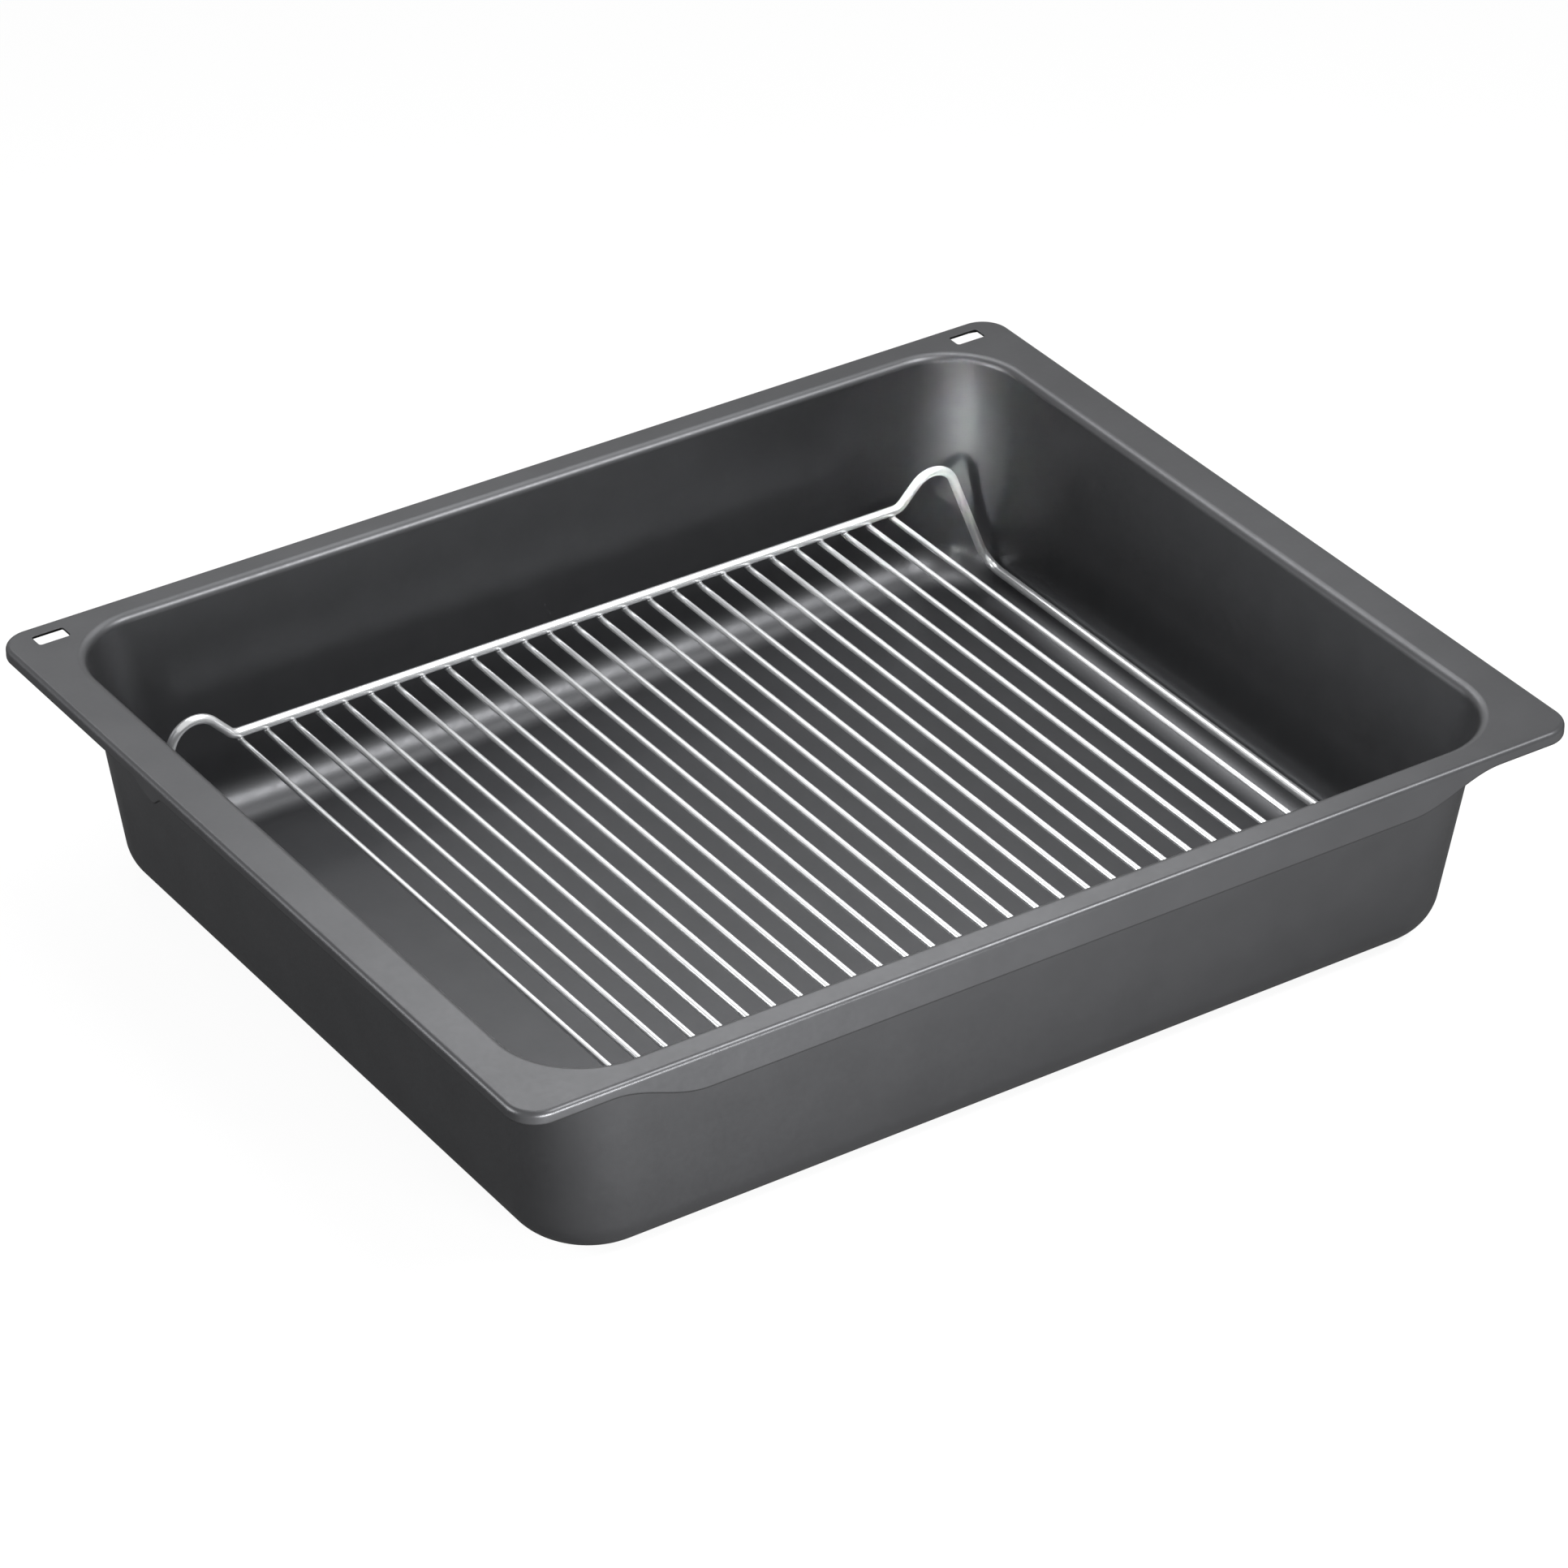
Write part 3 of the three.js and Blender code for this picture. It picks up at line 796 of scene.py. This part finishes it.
def enamel_finish(size):
    """Anthracite enamel: satin gloss with a fine grain over a slightly wavy sheet, with near-black painted
    shade along the lower edge of the lip and on the cut faces of the slots.
    """
    material, shader, place = new_material("anthracite_enamel")
    link = material.node_tree.links.new
    cloud = noise(material, place, ENAMEL_CLOUD, CLOUD_DETAIL)
    waves = noise(material, place, ENAMEL_WAVES.scale)
    peel = noise(material, place, ENAMEL_PEEL.scale)
    grain = noise(material, place, ENAMEL_GRAIN.scale)
    heights = [(waves, ENAMEL_WAVES.depth), (peel, ENAMEL_PEEL.depth), (grain, ENAMEL_GRAIN.depth)]
    # Painted shade along the lip's lower edge and in the slots, mixed over the enamel colour
    shade_mask = material.node_tree.nodes.new("ShaderNodeAttribute")
    shade_mask.attribute_name = EDGE_SHADE_MARK
    mix = material.node_tree.nodes.new("ShaderNodeMix")
    mix.data_type = "RGBA"
    mix.inputs["B"].default_value = (*size.painted_edge_shade, 1)
    link(shade_mask.outputs["Fac"], mix.inputs["Factor"])
    link(tinted(material, cloud, size.enamel, ENAMEL_TONES), mix.inputs["A"])
    link(mix.outputs["Result"], shader.inputs["Base Color"])
    link(strayed(material, peel, size.roughness, ENAMEL_STRAY), shader.inputs["Roughness"])
    link(bumped(material, heights), shader.inputs["Normal"])
    shader.inputs["Metallic"].default_value = size.sparkle
    return material


def chrome_finish(size):
    """Bright plating over drawn wire."""
    material, shader, place = new_material("bright_chrome")
    link = material.node_tree.links.new
    cloud = noise(material, place, CHROME_CLOUD, CLOUD_DETAIL)
    draw = noise(material, place, CHROME_DRAW.scale)
    link(tinted(material, cloud, size.chrome, CHROME_TONES), shader.inputs["Base Color"])
    link(strayed(material, cloud, size.roughness, CHROME_STRAY), shader.inputs["Roughness"])
    link(bumped(material, [(draw, CHROME_DRAW.depth)]), shader.inputs["Normal"])
    shader.inputs["Metallic"].default_value = size.shine
    return material


# Stage


def seen_rays(tree, mirrored=None):
    """1 for rays from the camera and 0 for light on the pieces. Mirrored and see-through views get the
    mirrored share, or 1 where none is given."""
    path = tree.nodes.new("ShaderNodeLightPath")
    total = path.outputs["Is Camera Ray"]
    for label in ("Is Glossy Ray", "Is Transmission Ray"):
        add = tree.nodes.new("ShaderNodeMath")
        add.operation = "MULTIPLY_ADD"
        add.use_clamp = True
        add.inputs[1].default_value = 1.0
        if mirrored is not None:
            tree.links.new(mirrored, add.inputs[1])
        tree.links.new(path.outputs[label], add.inputs[0])
        tree.links.new(total, add.inputs[2])
        total = add.outputs["Value"]
    return total


def floor_finish(stage):
    """A floor that is seen white and is clear from below. The pan and the rack mirror its white mostly in
    front of the pan."""
    material = bpy.data.materials.new("pale_floor")
    material.use_nodes = True
    tree = material.node_tree
    tree.nodes.clear()
    new, link = tree.nodes.new, tree.links.new
    matt = new("ShaderNodeBsdfDiffuse")
    matt.inputs["Color"].default_value = (*stage.floor_colour, 1)
    glow = new("ShaderNodeEmission")
    level = new("ShaderNodeMapRange")
    level.inputs["To Max"].default_value = stage.floor_glow
    place = new("ShaderNodeTexCoord")
    axes = new("ShaderNodeSeparateXYZ")
    # The mirrored white is weak near and behind the pan and full in front of it: painted shade round the pan
    # and a painted pool of light before it, seen only in reflections
    forward = new("ShaderNodeMapRange")
    forward.inputs["From Min"].default_value = -stage.mirrored_from
    forward.inputs["From Max"].default_value = -stage.mirrored_to
    forward.inputs["To Min"].default_value = stage.mirrored_rear
    forward.inputs["To Max"].default_value = stage.mirrored_front
    both = new("ShaderNodeAddShader")
    side = new("ShaderNodeNewGeometry")
    clear = new("ShaderNodeBsdfTransparent")
    top_only = new("ShaderNodeMixShader")
    result = new("ShaderNodeOutputMaterial")
    link(place.outputs["Object"], axes.inputs["Vector"])
    link(axes.outputs["Y"], forward.inputs["Value"])
    link(seen_rays(tree, forward.outputs["Result"]), level.inputs["Value"])
    link(level.outputs["Result"], glow.inputs["Strength"])
    link(matt.outputs["BSDF"], both.inputs[0])
    link(glow.outputs["Emission"], both.inputs[1])
    link(side.outputs["Backfacing"], top_only.inputs["Fac"])
    link(both.outputs["Shader"], top_only.inputs[1])
    link(clear.outputs["BSDF"], top_only.inputs[2])
    link(top_only.outputs["Shader"], result.inputs["Surface"])
    return material


def lay_floor(stage):
    """A square floor just below the pan."""
    half = stage.floor_size / 2
    low = -stage.floor_gap
    sheet = bmesh.new()
    corners = [sheet.verts.new((x * half, y * half, low)) for x, y in ((-1, -1), (1, -1), (1, 1), (-1, 1))]
    sheet.faces.new(corners)
    floor = linked_object("studio_floor", mesh_from(sheet, "studio_floor"))
    floor.data.materials.append(floor_finish(stage))


def light_room(scene, stage):
    """White all round where it is seen, and an even, weaker daylight on what it lights."""
    world = bpy.data.worlds.new("White room")
    scene.world = world
    world.use_nodes = True
    tree = world.node_tree
    background = tree.nodes["Background"]
    background.inputs["Color"].default_value = (1, 1, 1, 1)
    level = tree.nodes.new("ShaderNodeMapRange")
    level.inputs["To Min"].default_value = stage.daylight
    level.inputs["To Max"].default_value = stage.backdrop
    tree.links.new(seen_rays(tree), level.inputs["Value"])
    tree.links.new(level.outputs["Result"], background.inputs["Strength"])


def direction(azimuth, elevation):
    """From the pan outwards. Azimuth 0 is the front, and it grows towards the right."""
    flat = math.cos(elevation)
    return Vector((math.sin(azimuth) * flat, -math.cos(azimuth) * flat, math.sin(elevation)))


def hang_lamp(plan, level):
    """A soft lamp. At strength 1 and full spread a white card that faces it at its target shows as white."""
    lamp_data = bpy.data.lights.new(plan.name, "AREA")
    lamp_data.shape = "RECTANGLE"
    lamp_data.size = plan.width
    lamp_data.size_y = plan.height
    lamp_data.spread = math.radians(plan.spread)
    lamp_data.energy = level * plan.strength * (math.pi * plan.distance) ** 2
    away = direction(math.radians(plan.azimuth), math.radians(plan.elevation))
    lamp = bpy.data.objects.new(plan.name, lamp_data)
    lamp.location = Vector(plan.target) + away * plan.distance
    lamp.rotation_mode = "QUATERNION"
    lamp.rotation_quaternion = (-away).to_track_quat("-Z", "Y")
    bpy.context.scene.collection.objects.link(lamp)


def set_camera(scene, stage):
    """The camera, turned to its target."""
    back = direction(stage.view_azimuth, stage.view_elevation)
    camera_data = bpy.data.cameras.new("Studio camera")
    camera_data.lens = stage.view_lens
    camera = bpy.data.objects.new("Studio camera", camera_data)
    camera.location = Vector(stage.view_target) + back * stage.view_distance
    camera.rotation_mode = "QUATERNION"
    camera.rotation_quaternion = (-back).to_track_quat("-Z", "Y")
    scene.collection.objects.link(camera)
    scene.camera = camera


# Operators


class ROASTING_OT_pan(bpy.types.Operator):
    """Press the enamelled pan out of one sheet"""

    bl_idname = "roasting.pan"
    bl_label = "Enamelled pan"

    def execute(self, context):
        size = context.scene.roasting_pan
        pan = press_pan(size)
        pan.data.materials.append(enamel_finish(size))
        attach(pan, "pan")
        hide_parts("pan")
        return {"FINISHED"}


class ROASTING_OT_frame_wire(bpy.types.Operator):
    """Bend the frame wire of the rack"""

    bl_idname = "roasting.frame_wire"
    bl_label = "Frame wire"

    def execute(self, context):
        size = context.scene.roasting_rack
        wire = bend_frame(size, chrome_finish(size))
        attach(wire, "rack")
        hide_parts(*wire_nodes)
        return {"FINISHED"}


class ROASTING_OT_rods(bpy.types.Operator):
    """Lay the row of rods under the frame wire"""

    bl_idname = "roasting.rods"
    bl_label = "Rods"

    def execute(self, context):
        size = context.scene.roasting_rack
        rods = row_at_rods(size, one_rod(size), "rods", chrome_finish(size))
        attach(rods, "rack")
        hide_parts(*rod_nodes)
        return {"FINISHED"}


class ROASTING_OT_weld_beads(bpy.types.Operator):
    """Weld the rods to the frame wire"""

    bl_idname = "roasting.weld_beads"
    bl_label = "Weld beads"

    def execute(self, context):
        size = context.scene.roasting_rack
        beads = row_at_rods(size, weld_beads(size), "weld_beads", chrome_finish(size))
        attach(beads, "rack")
        return {"FINISHED"}


class ROASTING_OT_stage(bpy.types.Operator):
    """Lay the floor, hang the lamps and set the camera"""

    bl_idname = "roasting.stage"
    bl_label = "Stage"

    def execute(self, context):
        scene = context.scene
        stage = scene.roasting_stage
        lay_floor(stage)
        light_room(scene, stage)
        for plan in LAMPS:
            hang_lamp(plan, stage.lamp_level)
        set_camera(scene, stage)
        scene.view_settings.view_transform = "Standard"
        return {"FINISHED"}


class ROASTING_PT_panel(bpy.types.Panel):
    """Pieces of the roasting pan and the stage"""

    bl_idname = "ROASTING_PT_panel"
    bl_label = "Roasting pan"
    bl_space_type = "VIEW_3D"
    bl_region_type = "UI"
    bl_category = "Roasting pan"

    def draw(self, context):
        for operator in operators:
            self.layout.operator(operator.bl_idname)
        scene = context.scene
        for settings in (scene.roasting_pan, scene.roasting_rack, scene.roasting_stage):
            box = self.layout.box()
            for name in type(settings).__annotations__:
                box.prop(settings, name)


operators = (
    ROASTING_OT_pan,
    ROASTING_OT_frame_wire,
    ROASTING_OT_rods,
    ROASTING_OT_weld_beads,
    ROASTING_OT_stage,
)
classes = (PanSizes, RackSizes, StageSettings, *operators, ROASTING_PT_panel)


def register():
    for item in classes:
        bpy.utils.register_class(item)
    bpy.types.Scene.roasting_pan = PointerProperty(type=PanSizes)
    bpy.types.Scene.roasting_rack = PointerProperty(type=RackSizes)
    bpy.types.Scene.roasting_stage = PointerProperty(type=StageSettings)


def unregister():
    del bpy.types.Scene.roasting_stage
    del bpy.types.Scene.roasting_rack
    del bpy.types.Scene.roasting_pan
    for item in reversed(classes):
        bpy.utils.unregister_class(item)


def main():
    register()
    bpy.ops.roasting.pan()
    bpy.ops.roasting.frame_wire()
    bpy.ops.roasting.rods()
    bpy.ops.roasting.weld_beads()
    bpy.ops.roasting.stage()


if __name__ == "__main__":
    main()
